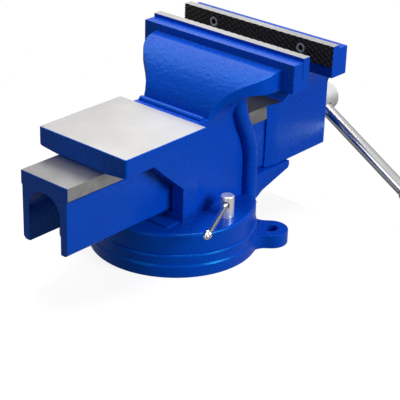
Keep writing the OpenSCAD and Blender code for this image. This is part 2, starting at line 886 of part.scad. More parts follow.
// Bar with an upset ring and tip at each end
module lock_bar(side, turn) {
    near = lock_head_r + gap;
    far = lock_bar_reach - lock_end_len - lock_tip_len;
    color(bright)
        at_lock(side)
            translate([0, 0, foot_top + lock_hole_rise])
                rotate([0, 90, turn + side * lock_lead])
                    rotate_extrude()
                        polygon(concat(
                            [[0, -near - lock_end_len - lock_tip_len / 2],
                             [lock_bar_r / 2, -near - lock_end_len - lock_tip_len / 2],
                             [lock_bar_r, -near - lock_end_len],
                             [lock_end_r, -near - lock_end_len / 2], [lock_end_r - lock_chamfer, -near],
                             [lock_bar_r, -near], [lock_bar_r, far], [lock_end_r - lock_chamfer, far],
                             [lock_end_r, far + lock_end_len / 2], [lock_bar_r, far + lock_end_len]],
                            lock_tip()));
}

swivel_base();
pivot_bolt();
pivot_washer();
tee_nut(-1);  // tee_nut_left
tee_nut(1);  // tee_nut_right
fixed_body();
fixed_jaw_plate();
fixed_plate_screws();
main_nut();
nut_screws();
moving_jaw();
moving_jaw_plate();
moving_plate_screws();
main_screw();
thrust_spring();
thrust_washer();
split_pin();
handle_bar();
handle_knob_far();
handle_knob_near();
lock_screw(-1, left_bar_turn);  // lock_screw_left
lock_screw(1, right_bar_turn);  // lock_screw_right
lock_bar(-1, left_bar_turn);  // lock_bar_left
lock_bar(1, right_bar_turn);  // lock_bar_right
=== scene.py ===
"""Dresses the packed bench vise: castings, knurled jaw plates, a thread, chrome bars and a studio."""

import json
import math

import bmesh
import bpy
from mathutils import Matrix, Vector


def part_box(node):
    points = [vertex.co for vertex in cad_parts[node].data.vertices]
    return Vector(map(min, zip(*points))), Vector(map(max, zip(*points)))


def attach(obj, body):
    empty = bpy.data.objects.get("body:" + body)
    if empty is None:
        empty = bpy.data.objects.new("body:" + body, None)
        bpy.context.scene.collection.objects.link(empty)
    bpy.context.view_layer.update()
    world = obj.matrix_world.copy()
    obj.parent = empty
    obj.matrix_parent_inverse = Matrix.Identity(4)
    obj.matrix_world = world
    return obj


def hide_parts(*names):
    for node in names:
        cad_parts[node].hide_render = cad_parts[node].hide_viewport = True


bl_info = {
    "name": "Bench Vise Dresser",
    "version": (1, 0, 0),
    "blender": (4, 5, 0),
    "location": "3D View > Sidebar > Bench Vise",
    "description": "Gives a packed bench vise its castings, knurled plates, thread, chrome and studio",
    "category": "Object",
}

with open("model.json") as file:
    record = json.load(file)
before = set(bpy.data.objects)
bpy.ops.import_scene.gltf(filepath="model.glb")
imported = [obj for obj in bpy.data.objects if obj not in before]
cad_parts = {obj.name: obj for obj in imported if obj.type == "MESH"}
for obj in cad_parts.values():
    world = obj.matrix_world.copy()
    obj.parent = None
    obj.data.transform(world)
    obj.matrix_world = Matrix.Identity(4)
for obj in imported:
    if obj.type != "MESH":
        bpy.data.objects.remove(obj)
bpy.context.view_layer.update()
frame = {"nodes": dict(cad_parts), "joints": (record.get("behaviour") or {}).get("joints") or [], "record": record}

MM = 0.001
UP = Vector((0, 0, 1))
MERGE = 0.000004
FLAT_ANGLE = math.radians(0.4)
SMOOTH_ANGLE = math.radians(32)
EDGE_ANGLE = math.radians(28)
# The share of its rounding that an edge takes, for room beside it between two limits, in roundings
EDGE_SHARES = ((2.0, math.inf, 1.0), (1.0, 2.0, 0.5), (0.45, 1.0, 0.2))
# Neighbours that meet an edge at a smaller sine than this carry it on, and don't bound its room
CARRIES_ON = 0.4

# The photograph's camera, found by matching the packed solids with it
CAMERA_AZIMUTH, CAMERA_ELEVATION, CAMERA_ROLL = 220.63, 25.74, -1.69
CAMERA_OFFSET = (-20.88 * MM, -29.39 * MM, 1075.97 * MM)
FOCAL_PIXELS, PICTURE_PIXELS, SENSOR = 1370.98, 400, 36.0


def low(node):
    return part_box(node)[0]


def high(node):
    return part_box(node)[1]


SCREW_Z = (low("main_screw").z + high("main_screw").z) / 2
FIXED_GRIP_Y = low("fixed_jaw_plate").y
MOVING_GRIP_Y = high("moving_jaw_plate").y
PLATE_TOP, PLATE_FOOT = high("fixed_jaw_plate").z, low("fixed_jaw_plate").z
PLATE_HALF = high("fixed_jaw_plate").x
PLATE_DEPTH = high("fixed_jaw_plate").y - FIXED_GRIP_Y
ANVIL_TOP = 0.111
SLIDE_TOP = 0.0949
SLIDE_HALF = 0.0234
STRIP_FOOT = SLIDE_TOP - 0.0106
SCREW_R = 0.007
SHELF_DEPTH = 0.0189
# The least cosine of a face square to an axis, and how far a ground face, strip or edge may be off
SQUARE, GROUND_SLACK, STRIP_SLACK, EDGE_SLACK = 0.99, 0.3 * MM, 0.25 * MM, 0.1 * MM
HANDLE_Y = next(j["pos_m"][1] for j in frame["joints"] if j["name"] == "screw_turn")
# Handle bar and lock bars, in millimetres from the axis that each one crosses
BAR_FAR, BAR_NEAR, BAR_R, KNOB_R, KNOB_FLAT, SPIGOT_R = 113.0, -17.0, 5.5, 7.0, 5.2, 3.2
BAR_CHAMFER, SPIGOT_DEPTH, KNOB_BORE_R, KNOB_BORE_DEPTH = 0.3, 4.0, 3.3, 4.3
LOCK_TIP, LOCK_NEAR, LOCK_BAR_R, LOCK_RING_R = 60.5, 5.6, 2.4, 3.5
LOCK_STUB, LOCK_END = 4.7, 6.4
# Steps round a turned piece and round a lock bar
TURNED_STEPS, LOCK_STEPS = 40, 28
# The ring near each end of a lock bar: steps in radius from the ring's, and in length from its inner side
RING_STEPS = ((-0.9, 0.0), (-0.2, 0.7), (0.0, 1.5), (-0.25, 2.1))
RING_LENGTH = 3.0
# One pitch of the thread: root, rising flank, crest, falling flank, root
THREAD_SHARES = (0.0, 0.18, 0.34, 0.66, 0.82, 1.0)
# The thread's end, in millimetres: its radius, the length of its taper and a radius clear of the crests
THREAD_TIP_R, THREAD_TAPER, THREAD_CLEAR_R = 5.6, 3.4, 9.0
# Lamps by the setting of their power, each with its place, the point that it lights and its size
LAMPS = {
    "key": ((-1.05, -0.2, 0.5), (0, -0.02, 0.07), 0.55),
    "top": ((0.05, -0.1, 1.0), (0, 0, 0.08), 0.6),
    "sheen": ((0.62, -0.1, 0.78), (0, 0, 0.1), 0.5),
    "back": ((0.58, -0.67, 0.76), (0, 0, 0.1), 0.5),
    "fill": ((-0.1, 1.0, 0.35), (0, 0, 0.07), 0.6),
}
SCREW_HEAD_R = 4 * MM
# Holes of a plate screw: radius, start and end below the gripping face, in millimetres
SCREW_HOLES = ((4.2, -1.0, 5.2), (2.56, 5.0, 9.0))


# Settings that a user would change

class ViseFinish(bpy.types.PropertyGroup):
    """Colours and surface of the vise"""
    paint: bpy.props.FloatVectorProperty(
        name="Paint", description="Colour of the enamel on the castings", subtype="COLOR", size=3,
        default=(0.0008, 0.056, 0.5), min=0, max=1)
    ground: bpy.props.FloatVectorProperty(
        name="Ground iron", description="Colour of the ground faces", subtype="COLOR", size=3,
        default=(0.6, 0.592, 0.58), min=0, max=1)
    chrome: bpy.props.FloatVectorProperty(
        name="Chrome", description="Colour of the bars and knobs", subtype="COLOR", size=3,
        default=(0.86, 0.86, 0.87), min=0, max=1)
    zinc: bpy.props.FloatVectorProperty(
        name="Zinc", description="Colour of the plated screws", subtype="COLOR", size=3,
        default=(0.62, 0.63, 0.64), min=0, max=1)
    black: bpy.props.FloatVectorProperty(
        name="Blackened steel", description="Colour of the knurled faces", subtype="COLOR", size=3,
        default=(0.012, 0.012, 0.014), min=0, max=1)
    iron: bpy.props.FloatVectorProperty(
        name="Bare iron", description="Colour of the nut and tee nuts", subtype="COLOR", size=3,
        default=(0.13, 0.125, 0.12), min=0, max=1)
    edge: bpy.props.FloatProperty(
        name="Casting edge", description="Width of the rounded edges of the castings", subtype="DISTANCE",
        default=0.7 * MM, min=0.1 * MM, max=2 * MM)
    ripple: bpy.props.FloatProperty(
        name="Ripple", description="Depth of the ripple that the casting leaves under the enamel",
        default=0.5, min=0, max=2)


class ViseKnurl(bpy.types.PropertyGroup):
    """Cross-cut faces of the jaw plates"""
    cell_w: bpy.props.FloatProperty(
        name="Diamond width", description="Width of one diamond along the jaw", subtype="DISTANCE",
        default=6.4 * MM, min=2 * MM, max=10 * MM)
    cell_h: bpy.props.FloatProperty(
        name="Diamond height", description="Height of one diamond", subtype="DISTANCE",
        default=4.35 * MM, min=1 * MM, max=10 * MM)
    groove: bpy.props.FloatProperty(
        name="Groove depth", description="Depth of the grooves between the diamonds", subtype="DISTANCE",
        default=0.6 * MM, min=0.1 * MM, max=2 * MM)
    flank: bpy.props.FloatProperty(
        name="Groove flank", description="Width of a groove's flank", subtype="DISTANCE",
        default=0.62 * MM, min=0.1 * MM, max=2 * MM)


class ViseThread(bpy.types.PropertyGroup):
    """Trapezoidal thread of the main screw"""
    pitch: bpy.props.FloatProperty(
        name="Pitch", description="Advance of the thread in one turn", subtype="DISTANCE",
        default=3 * MM, min=1 * MM, max=6 * MM)
    depth: bpy.props.FloatProperty(
        name="Depth", description="Depth of the thread", subtype="DISTANCE",
        default=1.5 * MM, min=0.5 * MM, max=3 * MM)
    start: bpy.props.FloatProperty(
        name="Start", description="Place along the slide where the thread begins", subtype="DISTANCE",
        default=-110 * MM)
    steps: bpy.props.IntProperty(
        name="Steps", description="Steps in one turn of the thread", default=24, min=8, max=64)


class ViseStudio(bpy.types.PropertyGroup):
    """Floor and lamps"""
    floor: bpy.props.FloatVectorProperty(
        name="Floor", description="Colour of the bench top", subtype="COLOR", size=3,
        default=(0.24, 0.24, 0.24), min=0, max=1)
    edge_y: bpy.props.FloatProperty(
        name="Bench edge", description="Place of the bench's front edge, which the handle swings past",
        subtype="DISTANCE", default=-118 * MM)
    key: bpy.props.FloatProperty(
        name="Key lamp", description="Power of the lamp at the camera's right", subtype="POWER",
        default=11.0)
    top: bpy.props.FloatProperty(
        name="Top lamp", description="Power of the lamp overhead", subtype="POWER", default=7.8)
    back: bpy.props.FloatProperty(
        name="Back lamp", description="Power of the lamp that the upper faces mirror", subtype="POWER",
        default=0.9)
    sheen: bpy.props.FloatProperty(
        name="Sheen lamp", description="Power of the lamp that the curved hoods mirror", subtype="POWER",
        default=1.0)
    fill: bpy.props.FloatProperty(
        name="Fill lamp", description="Power of the lamp at the camera's left", subtype="POWER",
        default=1.3)
    pale: bpy.props.FloatProperty(
        name="Bench white", description="How white the bench top looks to the camera", default=0.84, min=0,
        max=1)
    mirrored: bpy.props.FloatProperty(
        name="Bench in metal", description="How bright the bench top looks in reflections", default=0.22,
        min=0, max=1)
    sky: bpy.props.FloatProperty(
        name="Room light", description="Strength of the room's light on the object", default=0.04, min=0)


GROUPS = {"vise_finish": ViseFinish, "vise_knurl": ViseKnurl, "vise_thread": ViseThread,
          "vise_studio": ViseStudio}


# Work on one piece

def only(piece):
    """Leaves one piece selected and active."""
    bpy.ops.object.select_all(action="DESELECT")
    piece.select_set(True)
    bpy.context.view_layer.objects.active = piece


def edit(piece, everything=True):
    only(piece)
    bpy.ops.object.mode_set(mode="EDIT")
    bpy.ops.mesh.select_mode(type="FACE")
    bpy.ops.mesh.select_all(action="SELECT" if everything else "DESELECT")


def leave():
    bpy.ops.object.mode_set(mode="OBJECT")


def pick(piece, kind, test):
    """In edit mode, selects only the verts, edges or faces that pass a test, and counts them."""
    bpy.ops.mesh.select_mode(type={"verts": "VERT", "edges": "EDGE", "faces": "FACE"}[kind])
    bpy.ops.mesh.select_all(action="DESELECT")
    mesh = bmesh.from_edit_mesh(piece.data)
    found = [part for part in getattr(mesh, kind) if test(part)]
    for part in found:
        part.select_set(True)
    mesh.select_flush_mode()
    bmesh.update_edit_mesh(piece.data)
    return len(found)


def settle(piece):
    """Puts the piece's place into its mesh."""
    only(piece)
    bpy.ops.object.transform_apply(location=True, rotation=True, scale=True)


def apply_modifier(piece, kind, **values):
    only(piece)
    modifier = piece.modifiers.new(kind.title(), kind)
    for name, value in values.items():
        setattr(modifier, name, value)
    bpy.ops.object.modifier_apply(modifier=modifier.name)


def smooth(piece, angle=SMOOTH_ANGLE):
    only(piece)
    bpy.ops.object.shade_smooth_by_angle(angle=angle, keep_sharp_edges=False)


def outward(piece):
    edit(piece)
    bpy.ops.mesh.remove_doubles(threshold=MERGE)
    bpy.ops.mesh.normals_make_consistent(inside=False)
    leave()


def copy_of_node(node, name):
    """A merged copy of a node's mesh, its flat faces joined."""
    piece = bpy.data.objects.new(name, frame["nodes"][node].data.copy())
    bpy.context.scene.collection.objects.link(piece)
    piece.data.materials.clear()
    edit(piece)
    bpy.ops.mesh.customdata_custom_splitnormals_clear()
    bpy.ops.mesh.remove_doubles(threshold=MERGE)
    bpy.ops.mesh.dissolve_limited(angle_limit=FLAT_ANGLE)
    leave()
    return piece


def room_beside(edge):
    """The least width of the two faces at an edge, measured at its ends."""
    rooms = []
    for vert in edge.verts:
        along = edge.other_vert(vert).co - vert.co
        for other in vert.link_edges:
            if other is not edge and any(face in edge.link_faces for face in other.link_faces):
                turn = math.sin(along.angle(other.other_vert(vert).co - vert.co, 0.0))
                if turn > CARRIES_ON:
                    rooms.append(other.calc_length() * turn)
    return min(rooms, default=0.0)


def soften(piece, width, angle=EDGE_ANGLE):
    """Rounds sharp edges, less beside narrow steps, and keeps flat faces flat to the light."""
    edit(piece, everything=False)
    for least, most, weight in EDGE_SHARES:
        if pick(piece, "edges", lambda e: len(e.link_faces) == 2 and e.calc_face_angle(0.0) > angle
                and least * width <= room_beside(e) < most * width):
            bpy.ops.transform.edge_bevelweight(value=weight)
    leave()
    apply_modifier(piece, "BEVEL", width=width, segments=2, limit_method="WEIGHT",
                   use_clamp_overlap=False, miter_outer="MITER_SHARP")
    smooth(piece)
    apply_modifier(piece, "WEIGHTED_NORMAL", mode="FACE_AREA", weight=80, keep_sharp=True)


def dress(piece, node, slot, *materials):
    """Gives a finished piece its materials and body, and hides the node that it stands for."""
    piece.data.materials.clear()
    for material in materials:
        piece.data.materials.append(material)
    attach(piece, body_name(node))
    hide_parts(node)


def body_name(node):
    bodies = frame["record"]["behaviour"]["bodies"]
    return next(body for body, members in bodies.items() if node in members)


def finish_faces(piece, index, test):
    """Gives the faces that pass a test on their centre and normal the material of that index."""
    for face in piece.data.polygons:
        if test(face.center, face.normal):
            face.material_index = index


def profile(name, points):
    """A line drawn by extruding one vertex from point to point."""
    bpy.ops.object.select_all(action="DESELECT")
    bpy.ops.mesh.primitive_plane_add(size=MM, location=points[0])
    piece = bpy.context.object
    piece.name = piece.data.name = name
    settle(piece)
    edit(piece)
    bpy.ops.mesh.select_mode(type="VERT")
    bpy.ops.mesh.merge(type="CENTER")
    for a, b in zip(points, points[1:]):
        bpy.ops.mesh.extrude_vertices_move(TRANSFORM_OT_translate={"value": Vector(b) - Vector(a)})
    leave()
    return piece


def turned(name, points, steps):
    """A closed solid of revolution: a profile that starts and ends on the Z axis, spun round it."""
    piece = profile(name, points)
    edit(piece)
    bpy.ops.mesh.select_mode(type="VERT")
    bpy.ops.mesh.select_all(action="SELECT")
    bpy.ops.mesh.spin(steps=steps, angle=math.tau, center=(0, 0, 0), axis=(0, 0, 1))
    leave()
    outward(piece)
    return piece


# Surfaces

class Wiring:
    """Adds and joins nodes in one node tree."""

    def __init__(self, tree):
        self.tree = tree
        self.tree.nodes.clear()

    def add(self, kind, inputs=None, **values):
        node = self.tree.nodes.new(kind)
        for name, value in values.items():
            setattr(node, name, value)
        for name, value in (inputs or {}).items():
            if isinstance(value, bpy.types.NodeSocket):
                self.tree.links.new(value, node.inputs[name])
            else:
                node.inputs[name].default_value = value
        return node

    def math(self, operation, a, b=0.0):
        return self.add("ShaderNodeMath", {0: a, 1: b}, operation=operation).outputs[0]

    def between(self, value, from_low, from_high, to_low, to_high):
        return self.add("ShaderNodeMapRange", {
            "Value": value, "From Min": from_low, "From Max": from_high,
            "To Min": to_low, "To Max": to_high}).outputs["Result"]

    def mix(self, share, a, b):
        node = self.add("ShaderNodeMix", data_type="RGBA")
        for index, value in ((0, share), (6, a), (7, b)):
            if isinstance(value, bpy.types.NodeSocket):
                self.tree.links.new(value, node.inputs[index])
            else:
                node.inputs[index].default_value = value if index == 0 else (*value, 1)
        return node.outputs[2]


def effect(name, inputs, outputs):
    """A shader node group with named inputs and outputs, ready for its nodes."""
    group = bpy.data.node_groups.new(name, "ShaderNodeTree")
    for label, value in inputs.items():
        socket = group.interface.new_socket(label, in_out="INPUT", socket_type="NodeSocketFloat")
        socket.default_value = value
    for label in outputs:
        group.interface.new_socket(label, in_out="OUTPUT", socket_type="NodeSocketFloat")
    wires = Wiring(group)
    return group, wires, wires.add("NodeGroupInput"), wires.add("NodeGroupOutput")


def skin_effect():
    """Sand-cast skin under enamel: fine grain, long ripples, and a slow change of tone."""
    if "Cast skin" in bpy.data.node_groups:
        return bpy.data.node_groups["Cast skin"]
    group, w, take, give = effect(
        "Cast skin", {"Grain": 300.0, "Ripple": 140.0, "Stretch": 2.2, "Share": 0.5},
        ("Height", "Tone", "Gloss"))
    place = w.add("ShaderNodeTexCoord").outputs["Object"]
    shrink = w.math("DIVIDE", 1.0, take.outputs["Stretch"])
    stretch = w.add("ShaderNodeCombineXYZ", {"X": shrink, "Y": 1.0, "Z": 1.0})
    long = w.add("ShaderNodeVectorMath", {0: place, 1: stretch.outputs[0]}, operation="MULTIPLY").outputs[0]
    ripple = w.add("ShaderNodeTexNoise", {
        "Vector": long, "Scale": take.outputs["Ripple"], "Detail": 3.0, "Roughness": 0.55,
        "Distortion": 0.6})
    grain = w.add("ShaderNodeTexNoise", {"Vector": place, "Scale": take.outputs["Grain"], "Detail": 2.0})
    slow = w.add("ShaderNodeTexNoise", {"Vector": place, "Scale": 22.0, "Detail": 2.0})
    share = take.outputs["Share"]
    height = w.math("ADD", w.math("MULTIPLY", ripple.outputs[0], share),
                    w.math("MULTIPLY", grain.outputs[0], w.math("SUBTRACT", 1.0, share)))
    for label, value in (("Height", height), ("Tone", w.between(slow.outputs[0], 0.3, 0.7, 0.0, 1.0)),
                         ("Gloss", w.between(grain.outputs[0], 0.3, 0.7, 0.0, 1.0))):
        w.tree.links.new(value, give.inputs[label])
    return group


def lines_effect():
    """Fine lines of a grinding wheel or lathe along one axis, with broad cloudy patches."""
    if "Tool lines" in bpy.data.node_groups:
        return bpy.data.node_groups["Tool lines"]
    group, w, take, give = effect(
        "Tool lines", {"Along X": 20.0, "Along Y": 900.0, "Along Z": 900.0, "Patches": 40.0},
        ("Height", "Lines", "Cloud"))
    place = w.add("ShaderNodeTexCoord").outputs["Object"]
    scale = w.add("ShaderNodeCombineXYZ", {
        "X": take.outputs["Along X"], "Y": take.outputs["Along Y"], "Z": take.outputs["Along Z"]})
    drawn = w.add("ShaderNodeVectorMath", {0: place, 1: scale.outputs[0]}, operation="MULTIPLY").outputs[0]
    lines = w.add("ShaderNodeTexNoise", {"Vector": drawn, "Scale": 1.0, "Detail": 3.0, "Roughness": 0.65})
    cloud = w.add("ShaderNodeTexNoise", {"Vector": place, "Scale": take.outputs["Patches"], "Detail": 4.0})
    for label, value in (("Height", lines.outputs[0]),
                         ("Lines", w.between(lines.outputs[0], 0.3, 0.7, 0.0, 1.0)),
                         ("Cloud", w.between(cloud.outputs[0], 0.3, 0.7, 0.0, 1.0))):
        w.tree.links.new(value, give.inputs[label])
    return group


def marks_effect():
    """Small scratches and smudges from handling."""
    if "Handling marks" in bpy.data.node_groups:
        return bpy.data.node_groups["Handling marks"]
    group, w, take, give = effect("Handling marks", {"Size": 60.0, "Amount": 0.5}, ("Mask",))
    place = w.add("ShaderNodeTexCoord").outputs["Object"]
    cells = w.add("ShaderNodeTexNoise", {"Vector": place, "Scale": take.outputs["Size"], "Detail": 6.0,
                                         "Roughness": 0.7, "Distortion": 1.5})
    mask = w.math("MULTIPLY", w.between(cells.outputs[0], 0.48, 0.72, 0.0, 1.0), take.outputs["Amount"])
    w.tree.links.new(mask, give.inputs["Mask"])
    return group


def material(name, colour):
    """A new material with its wiring and its shader."""
    made = bpy.data.materials.new(name)
    made.use_nodes = True
    made.diffuse_color = (*colour, 1)
    wires = Wiring(made.node_tree)
    shader = wires.add("ShaderNodeBsdfPrincipled")
    wires.add("ShaderNodeOutputMaterial", {"Surface": shader.outputs[0]})
    return made, wires, shader


def placed(wires, group, **values):
    node = wires.add("ShaderNodeGroup", node_tree=group)
    for name, value in values.items():
        node.inputs[name.replace("_", " ")].default_value = value
    return node


def bump(wires, shader, height, strength, depth):
    node = wires.add("ShaderNodeBump", {"Height": height, "Strength": strength, "Distance": depth})
    wires.tree.links.new(node.outputs[0], shader.inputs["Normal"])


def shade(colour, factor):
    return tuple(min(1.0, c * factor) for c in colour)


def finish_colour(name, factor=1.0):
    """A colour of the finish settings, made lighter or darker."""
    return shade(tuple(getattr(bpy.context.scene.vise_finish, name)), factor)


def enamel(name="Blue enamel", ripple=0.35, stretch=1.6, ripple_scale=150.0, depth=0.12 * MM):
    if name in bpy.data.materials:
        return bpy.data.materials[name]
    finish = bpy.context.scene.vise_finish
    colour = finish_colour("paint")
    made, w, shader = material(name, colour)
    skin = placed(w, skin_effect(), Grain=420.0, Ripple=ripple_scale, Stretch=stretch, Share=0.75)
    marks = placed(w, marks_effect(), Size=14.0, Amount=0.2)
    tone = w.mix(skin.outputs["Tone"], shade(colour, 0.94), shade(colour, 1.06))
    w.tree.links.new(tone, shader.inputs["Base Color"])
    rough = w.math("ADD", w.between(skin.outputs["Gloss"], 0.0, 1.0, 0.24, 0.30),
                   w.math("MULTIPLY", marks.outputs["Mask"], 0.2))
    w.tree.links.new(rough, shader.inputs["Roughness"])
    shader.inputs["Specular IOR Level"].default_value = 0.5
    shader.inputs["Specular Tint"].default_value = (0.02, 0.62, 1.0, 1)
    bump(w, shader, skin.outputs["Height"], min(1.0, ripple * 2 * finish.ripple), depth)
    return made


def bare_metal(name, colour, rough, lines, strength=0.0, depth=0.0, cloud=(0.9, 1.05), spread=0.06,
               metallic=1.0, mark=0.3):
    """Bare metal. Lines holds the scales of its tool marks on X, Y and Z and of its patches."""
    if name in bpy.data.materials:
        return bpy.data.materials[name]
    made, w, shader = material(name, colour)
    tool = placed(w, lines_effect(), Along_X=lines[0], Along_Y=lines[1], Along_Z=lines[2],
                  Patches=lines[3])
    marks = placed(w, marks_effect(), Size=70.0, Amount=mark)
    tone = w.mix(tool.outputs["Cloud"], shade(colour, cloud[0]), shade(colour, cloud[1]))
    w.tree.links.new(tone, shader.inputs["Base Color"])
    level = w.math("ADD", w.between(tool.outputs["Lines"], 0.0, 1.0, rough - spread, rough + spread),
                   w.math("MULTIPLY", marks.outputs["Mask"], spread * 2))
    w.tree.links.new(level, shader.inputs["Roughness"])
    shader.inputs["Metallic"].default_value = metallic
    if strength:
        bump(w, shader, tool.outputs["Height"], strength, depth)
    return made


def hood_enamel():
    return enamel("Blue enamel over rippled casting", ripple=1.0, stretch=1.9, ripple_scale=300.0,
                  depth=0.7 * MM)


def ground_iron():
    return bare_metal("Ground iron", finish_colour("ground"), 0.34, (14, 1400, 1400, 30), 0.25, 0.02 * MM)


# The slide's colour is the ground iron made darker: a painted shade for the shadow under the anvil and jaws
def shaded_slide_iron():
    return bare_metal("Milled slide", finish_colour("ground", 0.62), 0.33, (900, 40, 900, 60), 0.1,
                      0.01 * MM, cloud=(0.85, 1.06), spread=0.02, mark=0.15)


# The strip's colour is the ground iron made darker: a painted shade
def shaded_strip_iron():
    return bare_metal("Milled strip", finish_colour("ground", 0.8), 0.38, (900, 60, 700, 160), 0.5,
                      0.04 * MM, cloud=(0.8, 1.08), spread=0.1)


def chrome():
    return bare_metal("Chrome", finish_colour("chrome"), 0.16, (300, 300, 300, 60), cloud=(0.97, 1.0),
                      spread=0.004, mark=0)


def turned_steel():
    return bare_metal("Turned steel", finish_colour("chrome", 1.1), 0.3, (60, 2600, 60, 50), 0.3,
                      0.02 * MM, spread=0.05, metallic=0.7)


def zinc():
    return bare_metal("Zinc plate", finish_colour("zinc"), 0.4, (260, 260, 260, 180), 0.2, 0.02 * MM,
                      cloud=(0.82, 1.06), spread=0.08, metallic=0.7)


# The plated zinc made lighter: painted light against the shade between the jaws
def lit_zinc():
    return bare_metal("Bright zinc plate", finish_colour("zinc", 1.4), 0.4, (260, 260, 260, 180),
                      cloud=(0.85, 1.05), metallic=0.2)


# The knurl's black made darker for the groove flanks and screw sockets: a painted shade in these recesses
def shaded_black():
    return bare_metal("Knurl grooves", finish_colour("black", 0.3), 0.5, (300, 300, 300, 220), metallic=0.2)


# The knurl's black made lighter for the flat diamond tops and the rest of the plate: painted light
def lit_black_oxide():
    return bare_metal("Blackened knurl", finish_colour("black", 1.8), 0.42, (300, 300, 300, 220), 0.25,
                      0.03 * MM, cloud=(0.6, 1.7), spread=0.1, metallic=0.35)


def cast_iron():
    return bare_metal("Bare cast iron", finish_colour("iron"), 0.52, (500, 500, 500, 120), 0.6, 0.08 * MM,
                      cloud=(0.75, 1.15), spread=0.08, metallic=0.8)


def oiled_wire():
    return bare_metal("Oiled wire", (0.2, 0.2, 0.21), 0.3, (200, 900, 200, 200), 0.2, 0.02 * MM,
                      cloud=(0.8, 1.15))


# Operators, one for each piece or group of like pieces

class Piece:
    """What the operators share."""
    bl_options = {"REGISTER", "UNDO"}


class VISE_OT_swivel_base(Piece, bpy.types.Operator):
    """Round base casting with its two bolt lugs"""
    bl_idname = "vise.swivel_base"
    bl_label = "Swivel base"

    def execute(self, context):
        piece = copy_of_node("swivel_base", "base_casting")
        soften(piece, context.scene.vise_finish.edge)
        dress(piece, "swivel_base", "base_paint", enamel(), ground_iron())
        finish_faces(piece, 1, lambda c, n: n.z < -SQUARE and c.z < EDGE_SLACK)
        return {"FINISHED"}


class VISE_OT_fixed_body(Piece, bpy.types.Operator):
    """Body casting with the fixed jaw, neck, collar, guide nose and ground anvil"""
    bl_idname = "vise.fixed_body"
    bl_label = "Fixed body"

    def execute(self, context):
        piece = copy_of_node("fixed_body", "body_casting")
        soften(piece, context.scene.vise_finish.edge)
        dress(piece, "fixed_body", "body_paint", enamel(), hood_enamel(), ground_iron())
        finish_faces(piece, 1, lambda c, n: on_hood(c, n, 1, FIXED_GRIP_Y + SHELF_DEPTH))
        finish_faces(piece, 2, lambda c, n: n.z > SQUARE and abs(c.z - ANVIL_TOP) < GROUND_SLACK)
        return {"FINISHED"}


class VISE_OT_moving_jaw(Piece, bpy.types.Operator):
    """Moving jaw casting with its boxed slide"""
    bl_idname = "vise.moving_jaw"
    bl_label = "Moving jaw"

    def execute(self, context):
        piece = copy_of_node("moving_jaw", "jaw_casting")
        soften(piece, context.scene.vise_finish.edge)
        dress(piece, "moving_jaw", "jaw_paint", enamel(), hood_enamel(), shaded_slide_iron(), shaded_strip_iron())
        finish_faces(piece, 1, lambda c, n: on_hood(c, n, -1, MOVING_GRIP_Y - SHELF_DEPTH))
        # The slide's top and its side strips take darkened iron, a painted shade
        finish_faces(piece, 2, lambda c, n: n.z > SQUARE and abs(c.z - SLIDE_TOP) < GROUND_SLACK)
        finish_faces(piece, 3, lambda c, n: abs(n.x) > SQUARE and c.z > STRIP_FOOT
                     and abs(abs(c.x) - SLIDE_HALF) < STRIP_SLACK)
        return {"FINISHED"}


def on_hood(centre, normal, way, start):
    """Whether a face is on the curved top of a hood, behind its shelf."""
    lean, slant, rise, foot = 0.25, 0.2, 0.02, 90 * MM
    return (way * normal.y > lean and abs(normal.x) < slant and normal.z > rise
            and way * (centre.y - start) > 0 and centre.z > foot)


class VISE_OT_jaw_plates(Piece, bpy.types.Operator):
    """Both jaw plates, cross-cut into flat-topped diamonds"""
    bl_idname = "vise.jaw_plates"
    bl_label = "Jaw plates"

    def execute(self, context):
        knurl = context.scene.vise_knurl
        plate = knurled_plate(knurl)
        moving = plate.copy()
        moving.data = plate.data.copy()
        moving.name = "knurled_plate_moving"
        context.scene.collection.objects.link(moving)
        plate.location = (0, FIXED_GRIP_Y, 0)
        moving.rotation_euler = (0, 0, math.pi)
        moving.location = (0, MOVING_GRIP_Y, 0)
        for piece, node in ((plate, "fixed_jaw_plate"), (moving, "moving_jaw_plate")):
            settle(piece)
            drill(piece, node.replace("jaw_plate", "plate_screws"))
            smooth(piece, math.radians(20))
            # The plate's faces keep the lightened black, a painted light on the diamond tops
            dress(piece, node, "plate_steel", lit_black_oxide(), ground_iron(), enamel(), shaded_black())
            # The groove flanks take the darkened black, a painted shade in the grooves
            finish_faces(piece, 3, lambda c, n: 0.1 < abs(n.y) < 0.97)
            finish_faces(piece, 1, lambda c, n: n.z > SQUARE)
            back = 1 if node == "fixed_jaw_plate" else -1
            finish_faces(piece, 2, lambda c, n: abs(n.x) > 0.9 and abs(c.x) > PLATE_HALF - EDGE_SLACK
                         or back * n.y > SQUARE)
        return {"FINISHED"}


